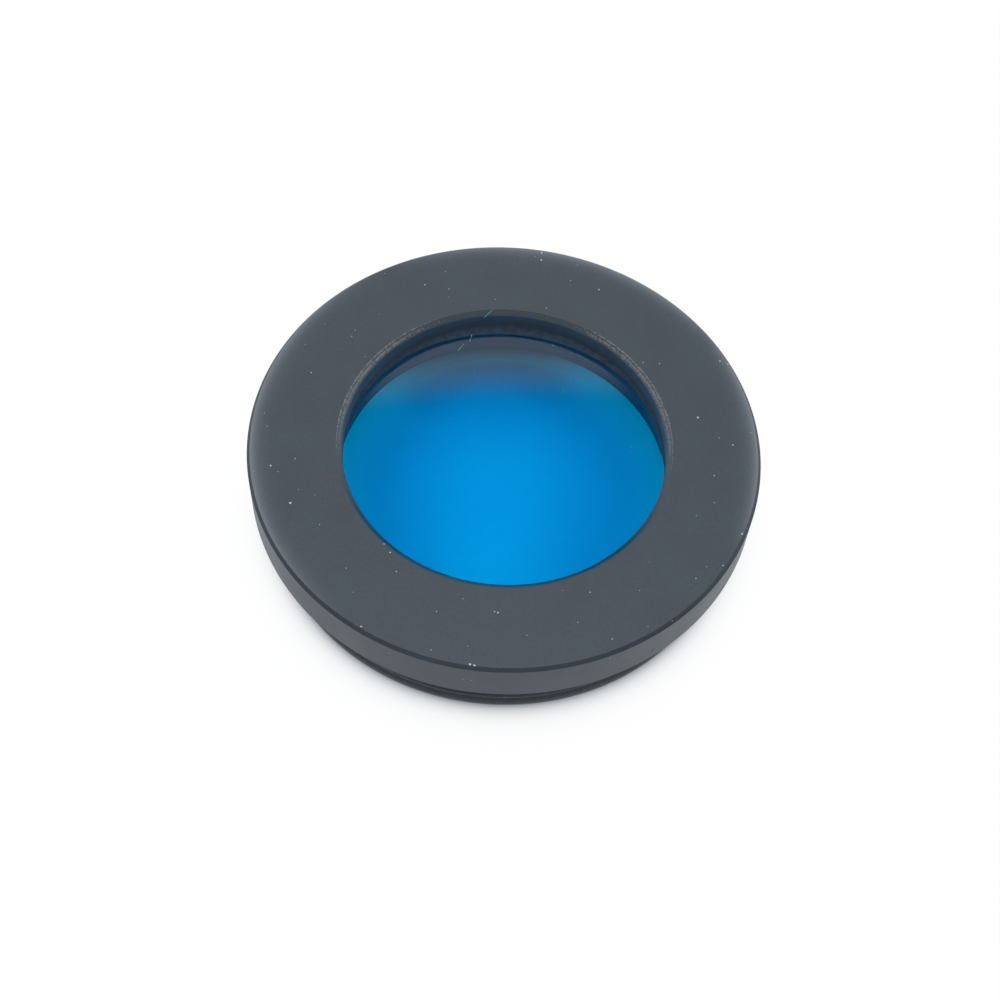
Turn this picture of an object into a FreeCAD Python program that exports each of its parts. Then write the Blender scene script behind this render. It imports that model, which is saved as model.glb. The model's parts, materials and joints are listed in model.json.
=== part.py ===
import FreeCAD, Part
import os
import Sketcher

# Moon filter for the barrel of a 1.25 inch eyepiece, lying thread down.
# A turned cell holds a blue glass disc against its lip, and a threaded ring screws in behind the glass.
# Millimetres, +Z up along the optical axis, origin at the middle of the thread's lower end.

DRIVING = {
    "thread_diameter": 28.5,
    "flange_overhang": 1.15,
    "flange_height": 3.0,
    "spigot_wall": 1.75,
    "relief_width": 0.6,
    "relief_depth": 0.4,
    "lip_thickness": 1.37,
    "lip_overlap": 2.225,
    "rim_chamfer": 0.2,
    "aperture_chamfer": 0.3,
    "edge_break": 0.1,
    "thread_lead": 0.15,
    "thread_pitch": 0.6,
    "thread_depth": 0.3,
    "mouth_chamfer": 0.25,
    "glass_thickness": 2.0,
    "glass_clearance": 0.1,
    "glass_step": 0.5,
    "glass_bevel": 0.15,
    "ring_height": 1.8,
    "ring_width": 2.25,
    "ring_clearance": 0.05,
    "ring_recess": 1.33,
    "ring_chamfer": 0.2,
    "thread_runout": 0.3,
    "slot_count": 2,
    "slot_width": 1.2,
    "slot_depth": 0.8,
}

# The stack of lip, glass, ring and recess sets the levels, and the thread sets the radii from outside inwards.
WORKED_OUT = {
    "thread_radius": "=thread_diameter / 2",
    "flange_radius": "=thread_radius + flange_overhang",
    "relief_radius": "=thread_radius - relief_depth",
    "thread_root_radius": "=thread_radius - thread_depth",
    "thread_cutter_radius": "=thread_radius + thread_depth / 4",
    "ring_bore_radius": "=thread_radius - spigot_wall",
    "ring_radius": "=ring_bore_radius - ring_clearance",
    "ring_inner_radius": "=ring_radius - ring_width",
    "glass_radius": "=ring_bore_radius - glass_step",
    "glass_bore_radius": "=glass_radius + glass_clearance",
    "aperture_radius": "=glass_radius - lip_overlap",
    "glass_level": "=ring_recess + ring_height",
    "bore_step_level": "=glass_level + thread_runout",
    "seat_level": "=glass_level + glass_thickness",
    "top_level": "=seat_level + lip_thickness",
    "shoulder_level": "=top_level - flange_height",
    "relief_level": "=shoulder_level - relief_width",
    "first_groove_level": "=thread_lead + 0.6 * thread_pitch",
    "thread_turns": "=floor((relief_level - thread_lead) / thread_pitch)",
}

BASE_LEVEL = "base_level"
SKETCH_ORIGIN = (-1, 1)
SKETCH_X_AXIS = -1
ROUND_TOLERANCE = 1e-4

# Widths of a groove between two ridges of the thread, in pitches: at its root and at the cutter's outer end.
# The ridges stay a quarter of the pitch wide at their crests.
ROOT_WIDTH = 0.25
CUTTER_WIDTH = 0.875


def size_sheet(doc):
    """The sheet of driving sizes, and below them the sizes worked out from them."""
    sheet = doc.addObject("Spreadsheet::Sheet", "sizes")
    entries = {name: str(value) for name, value in DRIVING.items()}
    entries.update(WORKED_OUT)
    for row, (name, content) in enumerate(entries.items(), start=1):
        sheet.set("A%d" % row, name)
        sheet.set("B%d" % row, content)
        sheet.setAlias("B%d" % row, name)
    doc.recompute()
    return sheet


def size(doc, name):
    """The present value of a size."""
    if name == BASE_LEVEL:
        return 0.0
    return float(getattr(doc.getObject("sizes"), name))


def bind(target, path, formula):
    """Ties a property to the sheet."""
    target.setExpression(path, formula)


def new_body(doc, name):
    body = doc.addObject("PartDesign::Body", name)
    body.Label = name
    return body


def origin_feature(body, role):
    """The body's own origin plane or axis with this role."""
    return next(item for item in body.Origin.OriginFeatures if item.Role == role)


def new_sketch(body, name, plane_role):
    sketch = body.newObject("Sketcher::SketchObject", name)
    sketch.AttachmentSupport = (origin_feature(body, plane_role), [""])
    sketch.MapMode = "FlatFace"
    return sketch


def tie(sketch, constraint, formula):
    """Adds a constraint and drives its value from the sheet."""
    index = sketch.addConstraint(constraint)
    bind(sketch, "Constraints[%d]" % index, formula)


def stepped_outline(doc, sketch, walls, levels):
    """A closed outline of upright walls joined by level steps.

    Wall i stands at radius walls[i] and runs from levels[i] to the next level.
    """
    count = len(walls)
    radii = [size(doc, name) for name in walls]
    heights = [size(doc, name) for name in levels]
    upright = []
    level = []
    for i in range(count):
        after = (i + 1) % count
        low = FreeCAD.Vector(radii[i], heights[i], 0)
        high = FreeCAD.Vector(radii[i], heights[after], 0)
        beside = FreeCAD.Vector(radii[after], heights[after], 0)
        upright.append(sketch.addGeometry(Part.LineSegment(low, high)))
        level.append(sketch.addGeometry(Part.LineSegment(high, beside)))
    for i in range(count):
        after = (i + 1) % count
        sketch.addConstraint(Sketcher.Constraint("Coincident", upright[i], 2, level[i], 1))
        sketch.addConstraint(Sketcher.Constraint("Coincident", level[i], 2, upright[after], 1))
        sketch.addConstraint(Sketcher.Constraint("Vertical", upright[i]))
        sketch.addConstraint(Sketcher.Constraint("Horizontal", level[i]))
    for i in range(count):
        after = (i + 1) % count
        radius = Sketcher.Constraint("DistanceX", *SKETCH_ORIGIN, upright[i], 1, radii[i])
        tie(sketch, radius, "sizes." + walls[i])
        if levels[after] == BASE_LEVEL:
            sketch.addConstraint(Sketcher.Constraint("PointOnObject", level[i], 1, SKETCH_X_AXIS))
        else:
            height = Sketcher.Constraint("DistanceY", *SKETCH_ORIGIN, level[i], 1, heights[after])
            tie(sketch, height, "sizes." + levels[after])


def tapered_outline(doc, sketch, walls, widths, level_name):
    """A closed outline of two upright walls, each of its own height, centred on one level.

    Wall i stands at radius walls[i] and is widths[i] thread pitches high.
    """
    level = size(doc, level_name)
    pitch = size(doc, "thread_pitch")
    corners = []
    for wall, width in zip(walls, widths):
        half = width * pitch / 2
        ends = [(wall, level - half, "-", width), (wall, level + half, "+", width)]
        corners += ends if not corners else ends[::-1]
    points = [FreeCAD.Vector(size(doc, wall), height, 0) for wall, height, _, _ in corners]
    sides = []
    for start, end in zip(points, points[1:] + points[:1]):
        sides.append(sketch.addGeometry(Part.LineSegment(start, end)))
    for first, second in zip(sides, sides[1:] + sides[:1]):
        sketch.addConstraint(Sketcher.Constraint("Coincident", first, 2, second, 1))
    for side, point, (wall, height, sign, width) in zip(sides, points, corners):
        across = Sketcher.Constraint("DistanceX", *SKETCH_ORIGIN, side, 1, point.x)
        tie(sketch, across, "sizes." + wall)
        up = Sketcher.Constraint("DistanceY", *SKETCH_ORIGIN, side, 1, height)
        tie(sketch, up, "sizes.%s %s %s * sizes.thread_pitch / 2" % (level_name, sign, width))


def turned(body, sketch, kind, name):
    """Revolves or grooves a sketch through a full turn about the optical axis."""
    feature = body.newObject(kind, name)
    feature.Profile = sketch
    feature.ReferenceAxis = (sketch, ["V_Axis"])
    feature.Angle = 360
    return feature


def round_edges(doc, feature, places):
    """Names of the circular edges of a feature at each (radius, level) of the sheet."""
    found = []
    for radius_name, level_name in places:
        radius = size(doc, radius_name)
        level = size(doc, level_name)
        for index, edge in enumerate(feature.Shape.Edges, start=1):
            if not isinstance(edge.Curve, Part.Circle):
                continue
            centre = edge.Curve.Center
            same_radius = abs(edge.Curve.Radius - radius) < ROUND_TOLERANCE
            same_level = abs(centre.z - level) < ROUND_TOLERANCE
            on_axis = abs(centre.x) + abs(centre.y) < ROUND_TOLERANCE
            if same_radius and same_level and on_axis:
                found.append("Edge%d" % index)
    return found


def bevel(doc, body, base, name, places, size_name):
    """Chamfers the round edges of a body at the named places."""
    doc.recompute()
    edges = round_edges(doc, base, places)
    if len(edges) < len(places):
        raise RuntimeError("%s finds %d of %d edges" % (name, len(edges), len(places)))
    chamfer = body.newObject("PartDesign::Chamfer", name)
    chamfer.Base = (base, edges)
    chamfer.Size = size(doc, size_name)
    bind(chamfer, "Size", "sizes." + size_name)
    return chamfer


def filter_cell(doc):
    """The turned black cell: flange and lip on top, male thread below, stepped bore for glass and ring."""
    body = new_body(doc, "filter_cell")
    section = new_sketch(body, "cell_section", "XZ_Plane")
    walls = ["thread_radius", "flange_radius", "aperture_radius", "glass_bore_radius", "ring_bore_radius"]
    levels = [BASE_LEVEL, "shoulder_level", "top_level", "seat_level", "bore_step_level"]
    stepped_outline(doc, section, walls, levels)
    blank = turned(body, section, "PartDesign::Revolution", "turned_blank")
    relief_section = new_sketch(body, "relief_section", "XZ_Plane")
    relief_walls = ["relief_radius", "flange_radius"]
    relief_levels = ["relief_level", "shoulder_level"]
    stepped_outline(doc, relief_section, relief_walls, relief_levels)
    relief = turned(body, relief_section, "PartDesign::Groove", "thread_relief")
    doc.recompute()
    if relief.Shape.Volume >= blank.Shape.Volume:
        raise RuntimeError("the thread relief cuts nothing")
    rim = bevel(doc, body, relief, "rim_bevel", [("flange_radius", "top_level")], "rim_chamfer")
    aperture = [("aperture_radius", "top_level")]
    lip = bevel(doc, body, rim, "aperture_bevel", aperture, "aperture_chamfer")
    broken_edge = [("flange_radius", "shoulder_level")]
    shoulder = bevel(doc, body, lip, "shoulder_edge_break", broken_edge, "edge_break")
    lead = bevel(doc, body, shoulder, "thread_lead_in", [("thread_radius", BASE_LEVEL)], "thread_lead")
    mouth = bevel(doc, body, lead, "mouth_bevel", [("ring_bore_radius", BASE_LEVEL)], "mouth_chamfer")
    groove_section = new_sketch(body, "groove_section", "XZ_Plane")
    cutter_walls = ["thread_root_radius", "thread_cutter_radius"]
    tapered_outline(doc, groove_section, cutter_walls, [ROOT_WIDTH, CUTTER_WIDTH], "first_groove_level")
    groove = turned(body, groove_section, "PartDesign::Groove", "thread_groove")
    doc.recompute()
    if groove.Shape.Volume >= mouth.Shape.Volume:
        raise RuntimeError("the thread groove cuts nothing")
    grooves = body.newObject("PartDesign::LinearPattern", "thread_grooves")
    grooves.Originals = [groove]
    grooves.Direction = (origin_feature(body, "Z_Axis"), [""])
    bind(grooves, "Length", "sizes.thread_pitch * (sizes.thread_turns - 1)")
    bind(grooves, "Occurrences", "sizes.thread_turns")
    body.Tip = grooves
    return body


def filter_glass(doc):
    """The blue glass disc with its ground bevels, lying under the lip."""
    body = new_body(doc, "filter_glass")
    outline = new_sketch(body, "glass_outline", "XY_Plane")
    centre = FreeCAD.Vector(0, 0, 0)
    up = FreeCAD.Vector(0, 0, 1)
    radius = size(doc, "glass_radius")
    circle = outline.addGeometry(Part.Circle(centre, up, radius))
    outline.addConstraint(Sketcher.Constraint("Coincident", circle, 3, *SKETCH_ORIGIN))
    tie(outline, Sketcher.Constraint("Radius", circle, radius), "sizes.glass_radius")
    disc = body.newObject("PartDesign::Pad", "glass_disc")
    disc.Profile = outline
    bind(disc, "Length", "sizes.glass_thickness")
    bevels = [("glass_radius", BASE_LEVEL), ("glass_radius", "glass_thickness")]
    bevel(doc, body, disc, "ground_bevel", bevels, "glass_bevel")
    bind(body, ".Placement.Base.z", "sizes.glass_level")
    return body


def slot_outline(doc, sketch):
    """A rectangle across the ring's wall on the +X side, centred on the X axis."""
    inner = size(doc, "ring_inner_radius") / 2
    outer = size(doc, "ring_bore_radius")
    half = size(doc, "slot_width") / 2
    corners = [(inner, -half), (outer, -half), (outer, half), (inner, half)]
    points = [FreeCAD.Vector(x, y, 0) for x, y in corners]
    sides = []
    for start, end in zip(points, points[1:] + points[:1]):
        sides.append(sketch.addGeometry(Part.LineSegment(start, end)))
    for first, second in zip(sides, sides[1:] + sides[:1]):
        sketch.addConstraint(Sketcher.Constraint("Coincident", first, 2, second, 1))
    bottom, far, top, near = sides
    sketch.addConstraint(Sketcher.Constraint("Horizontal", bottom))
    sketch.addConstraint(Sketcher.Constraint("Horizontal", top))
    sketch.addConstraint(Sketcher.Constraint("Vertical", near))
    sketch.addConstraint(Sketcher.Constraint("Symmetric", far, 1, far, 2, SKETCH_X_AXIS))
    tie(sketch, Sketcher.Constraint("DistanceY", far, 1, far, 2, 2 * half), "sizes.slot_width")
    reach = Sketcher.Constraint("DistanceX", *SKETCH_ORIGIN, far, 1, outer)
    tie(sketch, reach, "sizes.ring_bore_radius")
    start = Sketcher.Constraint("DistanceX", *SKETCH_ORIGIN, near, 1, inner)
    tie(sketch, start, "sizes.ring_inner_radius / 2")


def retaining_ring(doc):
    """The threaded ring behind the glass, with slots across its lower face for a pin spanner."""
    body = new_body(doc, "retaining_ring")
    section = new_sketch(body, "ring_section", "XZ_Plane")
    stepped_outline(doc, section, ["ring_inner_radius", "ring_radius"], [BASE_LEVEL, "ring_height"])
    blank = turned(body, section, "PartDesign::Revolution", "ring_blank")
    outer_edges = [("ring_radius", BASE_LEVEL), ("ring_radius", "ring_height")]
    outer = bevel(doc, body, blank, "ring_thread_lead", outer_edges, "ring_chamfer")
    inner_edge = [("ring_inner_radius", BASE_LEVEL)]
    eased = bevel(doc, body, outer, "ring_inner_bevel", inner_edge, "ring_chamfer")
    outline = new_sketch(body, "slot_outline", "XY_Plane")
    slot_outline(doc, outline)
    slot = body.newObject("PartDesign::Pocket", "spanner_slot")
    slot.Profile = outline
    slot.Reversed = True
    bind(slot, "Length", "sizes.slot_depth")
    doc.recompute()
    if slot.Shape.Volume >= eased.Shape.Volume:
        raise RuntimeError("the spanner slot cuts nothing")
    slots = body.newObject("PartDesign::PolarPattern", "spanner_slots")
    slots.Originals = [slot]
    slots.Axis = (origin_feature(body, "Z_Axis"), [""])
    slots.Angle = 360
    bind(slots, "Occurrences", "sizes.slot_count")
    body.Tip = slots
    bind(body, ".Placement.Base.z", "sizes.ring_recess")
    return body


def check(doc, bodies):
    """Stops on a failed object or an unsound solid."""
    doc.recompute()
    for item in doc.Objects:
        if "Invalid" in item.State or "Error" in item.State:
            raise RuntimeError("%s failed: %s" % (item.Name, item.State))
    for body in bodies:
        if body.Shape.isNull() or not body.Shape.isValid() or len(body.Shape.Solids) != 1:
            raise RuntimeError("%s is not one sound solid" % body.Label)


def main():
    doc = FreeCAD.newDocument("moon_filter")
    size_sheet(doc)
    bodies = [filter_cell(doc), filter_glass(doc), retaining_ring(doc)]
    check(doc, bodies)
    os.makedirs("parts", exist_ok=True)
    for body in bodies:
        body.Shape.exportStep("parts/%s.step" % body.Label)
        box = body.Shape.BoundBox
        print("%s %.3f mm3, z %.2f to %.2f" % (body.Label, body.Shape.Volume, box.ZMin, box.ZMax))


main()
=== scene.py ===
import functools
import json
import math

import bpy
import numpy as np
from bpy.props import FloatProperty, FloatVectorProperty, IntProperty, PointerProperty
from mathutils import Matrix, Vector

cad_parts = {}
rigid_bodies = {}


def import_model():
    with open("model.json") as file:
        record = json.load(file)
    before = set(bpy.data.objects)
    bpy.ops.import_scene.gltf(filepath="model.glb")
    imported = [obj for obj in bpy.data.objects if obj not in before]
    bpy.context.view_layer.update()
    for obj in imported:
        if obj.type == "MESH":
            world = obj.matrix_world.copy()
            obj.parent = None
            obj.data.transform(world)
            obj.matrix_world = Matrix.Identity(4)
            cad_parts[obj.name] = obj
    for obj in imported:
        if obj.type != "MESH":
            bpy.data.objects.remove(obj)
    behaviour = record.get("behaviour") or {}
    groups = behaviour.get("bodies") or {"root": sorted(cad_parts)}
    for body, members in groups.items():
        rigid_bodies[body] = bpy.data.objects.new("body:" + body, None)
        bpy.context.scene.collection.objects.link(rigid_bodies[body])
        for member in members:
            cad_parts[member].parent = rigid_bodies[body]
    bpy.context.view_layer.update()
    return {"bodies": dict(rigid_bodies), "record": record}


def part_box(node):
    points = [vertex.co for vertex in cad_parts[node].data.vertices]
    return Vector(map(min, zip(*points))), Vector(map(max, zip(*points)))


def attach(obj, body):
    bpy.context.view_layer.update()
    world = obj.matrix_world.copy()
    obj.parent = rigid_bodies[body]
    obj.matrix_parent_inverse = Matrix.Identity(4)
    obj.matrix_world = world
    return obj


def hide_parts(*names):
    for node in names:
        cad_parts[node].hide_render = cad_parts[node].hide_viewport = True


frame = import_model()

bl_info = {
    "name": "Moon filter for an eyepiece",
    "version": (1, 0, 0),
    "blender": (4, 5, 0),
    "location": "3D View > Sidebar > Moon Filter",
    "description": "Builds the turned cell, the blue glass, its retaining ring, the dust and the stage",
    "category": "Object",
}

MM = 0.001
FULL_TURN = 2 * math.pi
ROOT_BODY = next(iter(frame["bodies"]))
CELL_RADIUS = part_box("filter_cell")[1].x
CELL_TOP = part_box("filter_cell")[1].z
GLASS_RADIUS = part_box("filter_glass")[1].x
GLASS_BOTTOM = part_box("filter_glass")[0].z
GLASS_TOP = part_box("filter_glass")[1].z
RING_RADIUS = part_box("retaining_ring")[1].x
RING_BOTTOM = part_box("retaining_ring")[0].z
RING_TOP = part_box("retaining_ring")[1].z
MOUNTS = {mount["name"]: mount for mount in frame["record"]["mounts"]}
THREAD_RADIUS = MOUNTS["eyepiece_thread"]["dims"]["r_mm"] * MM
THREAD_EASE = 0.35       # how far the flanks of a thread bend at their ends
HOLD = 0.03 * MM         # from a corner to the points that keep it crisp


def length(name, description, millimetres):
    """A length that a user may change, kept in metres."""
    return FloatProperty(
        name=name,
        description=description,
        default=millimetres * MM,
        subtype="DISTANCE",
        unit="LENGTH",
        precision=5,
    )


def angle_of(name, description, degrees):
    """An angle that a user may change, kept in radians."""
    return FloatProperty(
        name=name, description=description, default=math.radians(degrees), subtype="ANGLE"
    )


def colour(name, description, value):
    return FloatVectorProperty(
        name=name, description=description, default=value, subtype="COLOR", min=0, max=1
    )


def plain(name, description, value):
    return FloatProperty(name=name, description=description, default=value, precision=4)


def whole(name, description, value):
    return IntProperty(name=name, description=description, default=value, min=3)


class MoonFilterCell(bpy.types.PropertyGroup):
    flange_height: length("Flange height", "From the shoulder to the top face", 3.0)
    rim_chamfer: length("Rim chamfer", "Bevel between the top face and the rim", 0.2)
    aperture_radius: length("Aperture radius", "Radius of the lip's opening", 9.775)
    aperture_chamfer: length("Aperture chamfer", "Bevel between the top face and the opening", 0.3)
    edge_break: length("Edge break", "Bevel on the lower edge of the rim", 0.1)
    softness: length("Softness", "Radius that tumbling leaves on the outer edges", 0.03)
    relief_radius: length("Relief radius", "Radius of the groove above the thread", 13.85)
    relief_width: length("Relief width", "Height of the groove above the thread", 0.6)
    relief_bevel: length("Relief bevel", "Height of the slope between thread and groove", 0.15)
    thread_pitch: length("Thread pitch", "Pitch of the male thread", 0.6)
    thread_depth: length("Thread depth", "Depth of the male thread", 0.3)
    thread_start: plain("Thread start", "Where the male thread starts, in turns", 0.5)
    thread_lead: length("Thread lead-in", "Bevel at the start of the male thread", 0.15)
    ring_clearance: length("Ring clearance", "Radial clearance between ring and cell", 0.05)
    glass_clearance: length("Glass clearance", "Radial clearance between glass and cell", 0.1)
    runout: length("Thread run-out", "How far the threaded bore goes on above the ring", 0.3)
    mouth_chamfer: length("Mouth chamfer", "Bevel at the lower end of the bore", 0.25)
    segments: whole("Segments", "Divisions round the turned cell", 480)


class MoonFilterInside(bpy.types.PropertyGroup):
    glass_bevel: length("Glass bevel", "Ground bevel on the edges of the glass", 0.15)
    ring_bore: length("Ring bore", "Radius of the retaining ring's opening", 10.2)
    ring_chamfer: length("Ring chamfer", "Bevel on the ring's edges", 0.2)
    ring_softness: length("Ring softness", "Radius that is left on the ring's edges", 0.03)
    ring_pitch: length("Ring pitch", "Pitch of the thread that holds the ring", 0.5)
    ring_depth: length("Ring thread depth", "Depth of that thread", 0.27)
    slot_width: length("Slot width", "Width of the two spanner slots", 1.2)
    slot_depth: length("Slot depth", "Depth of those slots", 0.8)
    segments: whole("Segments", "Divisions round the glass and the ring", 288)
    fibre_radius: length("Fibre radius", "Radius of a lint fibre", 0.012)
    grain_radius: length("Grain radius", "Usual radius of a grain of dust on the glass", 0.024)
    # The bead along the lip carries painted light that lifts the shade in the corner, mostly at the back
    bead_width: length("Bead width", "Width at the back of the bead of dust along the lip", 0.62)
    bead_height: length("Bead height", "Height of that bead on the lip", 0.14)
    grain_count: whole("Grains", "Fine grains of dust scattered on the glass", 26)


class MoonFilterFinish(bpy.types.PropertyGroup):
    anodised: colour("Anodised black", "Colour of the matte anodising", (0.0125, 0.022, 0.0335))
    # Inside: painted blue light, a lighter and bluer tone for the light that the glass throws on the bore
    # wall
    inside: colour("Inside", "Colour of the thinner anodising in the bore", (0.05, 0.075, 0.10))
    # Ring: painted blue light from the glass on the ring's bore
    ring: colour("Ring", "Colour of the ring where the glass lights it blue", (0.044, 0.115, 0.13))
    # The bevel colours at its sides and at the back are lit and shaded copies of one colour: painted
    # light at the sides, painted shade at the back
    bevel: colour("Bevel", "Colour of the opening's bevel at its sides", (0.045, 0.065, 0.085))
    bevel_back_painted_shade: colour("Bevel at the back", "Colour of that bevel at the back", (0.024, 0.037, 0.05))
    # Front of the bevel: painted blue light that the glass throws on the front edge of the opening
    bevel_front: colour("Front of the bevel", "Colour of its front edge, lit blue", (0.001, 0.06, 0.11))
    # Spigot: a lighter copy of the anodising, painted light on the thread in the shade under the flange
    spigot_painted_light: colour("Spigot", "Colour of the anodising on the thread", (0.04, 0.048, 0.066))
    worn: colour("Worn edge", "Colour of the rubbed edges", (0.20, 0.185, 0.18))
    # Painted glow: a pale colour painted on the top face along the rim, standing in for the glow of the
    # bright backdrop at its edge
    painted_glow: colour("Bloom", "Colour of the pale bloom along the rim", (0.27, 0.29, 0.31))
    dust: colour("Dust", "Colour of chips and specks", (0.46, 0.50, 0.52))
    # Corner bead: painted light, a pale blue-grey that lifts the shade in the corner between the glass
    # and the lip
    corner_painted_light: colour("Corner dust", "Colour of the dust along the lip", (0.028, 0.048, 0.075))
    nick: colour("Nick", "Colour of the nick in the rim", (0.002, 0.002, 0.002))
    # Lint: pale, with a blue tint that is painted blue light from the glass beneath
    lint: colour("Lint", "Colour of the lint and the dust on the glass", (0.31, 0.68, 0.80))
    glass: colour("Glass tint", "Light that one pass through the glass lets by", (0.001, 0.62, 1.0))
    anodised_roughness: plain("Anodised roughness", "Roughness of the matte anodising", 0.42)
    anodised_specular: plain("Anodised specular", "Strength of the anodising's mirror-like part", 0.6)
    glass_index: plain("Refractive index", "Refractive index of the glass", 1.52)
    opening_wear: plain("Wear of the opening", "Wear of the opening's bevel", 0.55)
    rim_wear: plain("Wear of the rim", "Wear of the edges of the rim", 0.3)
    thread_wear: plain("Wear of the thread", "Wear of the crest of the male thread", 0.4)
    painted_glow_share: plain("Bloom share", "Strength of the bloom at the rim", 0.8)
    painted_glow_fade: length("Bloom fade", "How far from the rim the bloom fades", 0.33)


class MoonFilterStage(bpy.types.PropertyGroup):
    camera_distance: length("Camera distance", "From the camera to the middle of the top face", 98.77)
    camera_elevation: angle_of("Camera elevation", "Height of the camera above the table", 55.3)
    camera_roll: angle_of("Camera roll", "How far the camera is turned", 4.04)
    aim_left: length("Aim left", "How far the camera aims to the left of the middle", 0.05)
    aim_forward: length("Aim forward", "How far it aims in front of the middle", 4.26)
    lens: plain("Lens", "Focal length in millimetres on a 36 mm sensor", 59.26)
    floor_radius: length("Floor radius", "Radius of the pale floor", 1500.0)
    floor_shown: colour("Floor shown", "Colour of the floor in the filter's shadow", (0.97, 0.98, 1.0))
    floor_lit: plain("Floor lit", "Paleness of the floor as it lights the filter", 0.8)
    contact: length("Contact shadow", "How far from the thread the shadow stays dark", 0.13)
    shadow_reach: length("Shadow reach", "How far the shadow takes to fade into white", 0.6)
    # Painted contact shadow: how dark the floor is painted where it meets the thread
    painted_crease_shadow: plain("Crease", "Darkness of the floor where it meets the thread", 0.75)
    # Painted shadow of the cell on the floor under the back of the glass
    painted_shade_back: plain("Shade at the back", "Darkness of the floor under the back of the glass", 0.6)
    # Painted light on the floor under the glass: the floor gives off light in the middle, in front, at
    # the sides and in an arc at the back
    glow_width: length("Glow width", "Half the width of the pale floor in the middle", 4.7)
    glow_middle: plain("Glow in the middle", "Paleness of that middle", 0.14)
    glow_front: plain("Glow in front", "Paleness of the floor under the front of the glass", 0.05)
    glow_sides: plain("Glow at the sides", "Paleness of the floor under its sides", 0.2)
    glow_back: plain("Glow at the back", "Paleness of a thin arc at the back", 0.065)
    daylight: colour("Daylight", "Tint of the light", (0.9, 0.95, 1.0))
    backdrop: plain("Backdrop", "Strength of the bright backdrop", 1.74)
    backdrop_edge: angle_of("Backdrop edge", "Height of the backdrop's upper edge", 52.4)
    lamp: plain("Lamp", "Strength of the soft lamp overhead", 3.15)
    lamp_edge: angle_of("Lamp edge", "Height at which the lamp begins", 61.5)


SETTINGS = {
    "moon_filter_cell": MoonFilterCell,
    "moon_filter_inside": MoonFilterInside,
    "moon_filter_finish": MoonFilterFinish,
    "moon_filter_stage": MoonFilterStage,
}


def rounded(corners, steps=5):
    """A closed outline with each corner replaced by an arc tangent to both of its sides.

    A corner is (radius from the axis, height, radius of the arc). With unit vectors u and w to its
    neighbours and a turn of t between them, the arc touches the sides r tan(t / 2) from the corner, and
    its centre is r / cos(t / 2) from it along u + w. A support point follows on each side.
    """
    spots = np.array([corner[:2] for corner in corners])
    radii = np.array([corner[2] for corner in corners])
    before = np.roll(spots, 1, axis=0) - spots
    after = np.roll(spots, -1, axis=0) - spots
    reach = np.minimum(np.linalg.norm(before, axis=1), np.linalg.norm(after, axis=1))
    u = before / np.linalg.norm(before, axis=1, keepdims=True)
    w = after / np.linalg.norm(after, axis=1, keepdims=True)
    turn = math.pi - np.arccos(np.clip((u * w).sum(axis=1), -1, 1))
    touch = np.minimum(radii * np.tan(turn / 2), 0.4 * reach)
    arc = touch / np.tan(turn / 2)
    middle = (u + w) / np.linalg.norm(u + w, axis=1, keepdims=True)
    centre = spots + middle * (arc / np.cos(turn / 2))[:, None]
    first = spots + u * touch[:, None] - centre
    last = spots + w * touch[:, None] - centre
    start = np.arctan2(first[:, 1], first[:, 0])
    cross = first[:, 0] * last[:, 1] - first[:, 1] * last[:, 0]
    sweep = np.arctan2(cross, (first * last).sum(axis=1))
    along = start[:, None] + sweep[:, None] * np.linspace(0, 1, steps + 1)
    arcs = centre[:, None] + np.stack([np.cos(along), np.sin(along)], axis=2) * arc[:, None, None]
    near = (touch + np.minimum(HOLD, 0.1 * reach))[:, None]
    before_arc = (spots + u * near)[:, None]
    after_arc = (spots + w * near)[:, None]
    return np.concatenate([before_arc, arcs, after_arc], axis=1).reshape(-1, 2)


def divided(outline, zones):
    """The closed outline with more points where a zone asks for them.

    A zone is (low corner, high corner, longest step): a side whose middle lies between the corners is
    cut into equal steps no longer than that.
    """
    ends = np.roll(outline, -1, axis=0)
    sides = np.linalg.norm(ends - outline, axis=1)
    middle = (outline + ends) / 2
    cuts = np.ones(len(outline), int)
    for low, high, step in zones:
        inside = ((middle >= low) & (middle <= high)).all(axis=1)
        cuts = np.where(inside, np.maximum(cuts, np.ceil(sides / step).astype(int)), cuts)
    owner = np.repeat(np.arange(len(outline)), cuts)
    first = np.repeat(np.cumsum(cuts) - cuts, cuts)
    share = (np.arange(len(owner)) - first) / cuts[owner]
    return outline[owner] + (ends - outline)[owner] * share[:, None]


def thread_drop(height, angle, pitch, depth, start=0.0):
    """How far a right-handed thread lies under its crest at this height and angle.

    The phase is height / pitch - angle / full turn - start. The crest is an eighth of the pitch wide and
    the root a quarter, and the flanks between them are straight with eased ends.
    """
    phase = height / pitch - angle / FULL_TURN - start
    distance = np.abs((phase + 0.5) % 1.0 - 0.5)
    crest, root = 1 / 16, 3 / 8
    slope = np.clip((distance - crest) / (root - crest), 0, 1)
    eased = slope * slope * (3 - 2 * slope)
    return depth * (slope + THREAD_EASE * (eased - slope))


def turned(radius, height, angle):
    """Points of a turned surface, (r cos a, r sin a, z), for whole arrays of r, z and a."""
    radius, height, angle = np.broadcast_arrays(radius, height, angle)
    return np.stack([radius * np.cos(angle), radius * np.sin(angle), height], axis=-1)


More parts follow.
